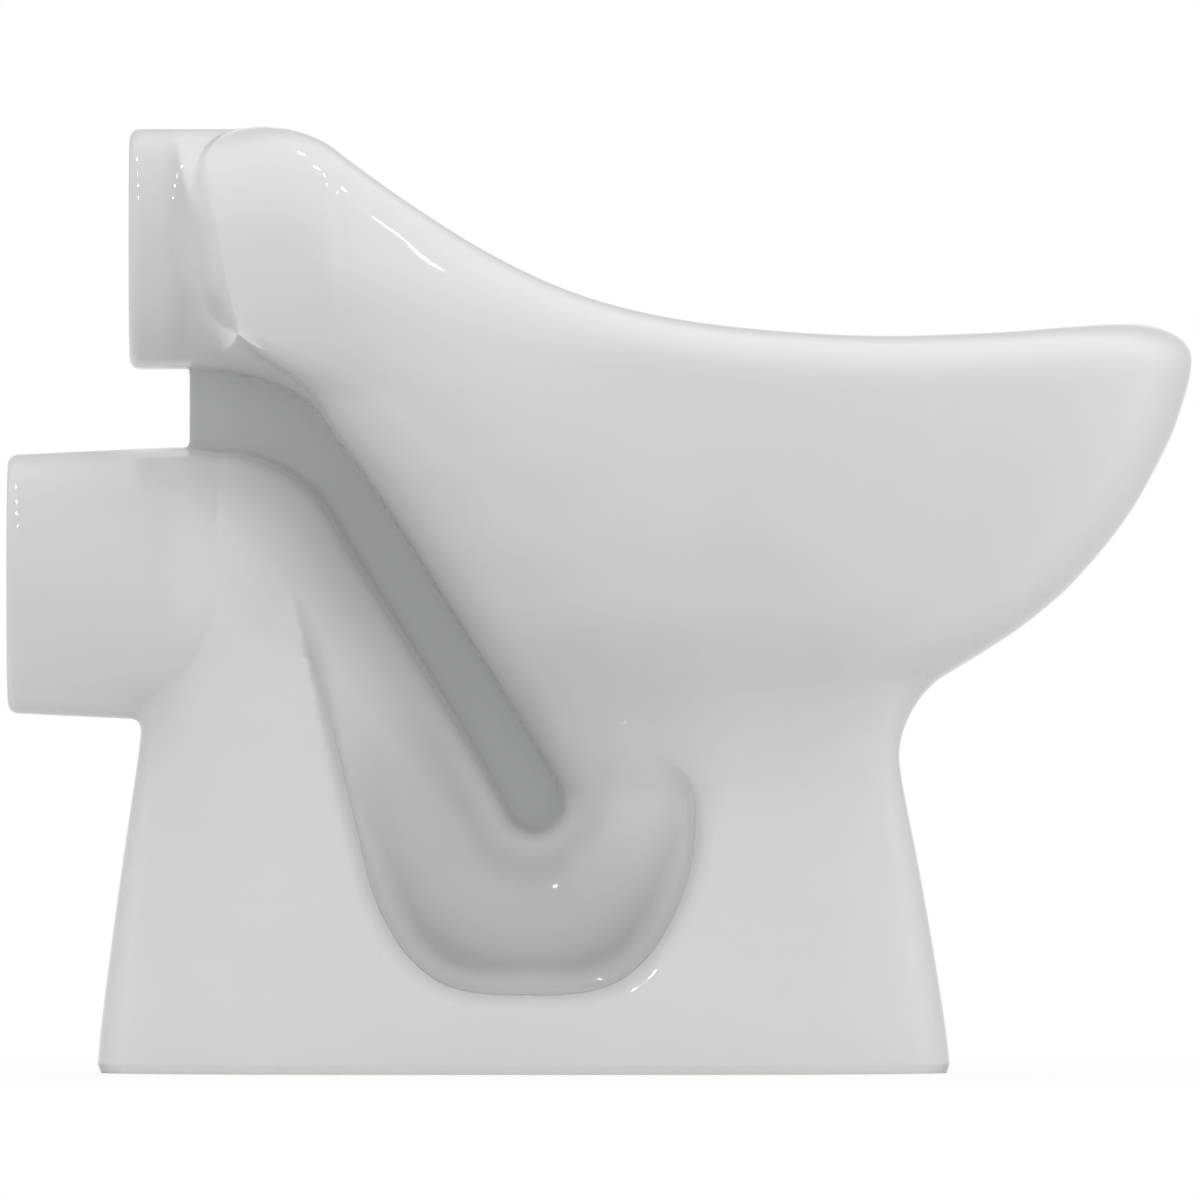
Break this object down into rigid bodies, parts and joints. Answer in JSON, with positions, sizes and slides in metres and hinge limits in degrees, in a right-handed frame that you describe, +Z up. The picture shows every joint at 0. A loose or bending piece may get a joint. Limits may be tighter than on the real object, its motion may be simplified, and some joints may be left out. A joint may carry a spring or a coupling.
{
  "type": "floor-standing toilet pan",
  "caption": "Floor-standing seatless toilet pan with a saddle rim and raised hood, open basin, exposed P-trap, horizontal inlet and outlet, and a recessed pedestal.",
  "frame": {"origin": "on the floor, at the middle of the pan's overall length and width", "axes": "+Z up, +Y to the back, where inlet and outlet point, -Y to the nose of the rim, X across the pan"},
  "size_m": [0.3036, 0.462, 0.3687],
  "materials": {
    "glaze": "glossy white glaze"
  },
  "bodies": {
    "root": {"rim": "glaze", "bowl": "glaze", "inlet_horn": "glaze", "flush_splitter": "glaze", "trap_dip": "glaze", "trap_rising_leg": "glaze", "outlet_elbow": "glaze", "outlet_spigot": "glaze", "web_panel": "glaze", "pedestal": "glaze", "foot_ring": "glaze"}
  },
  "joints": []
}
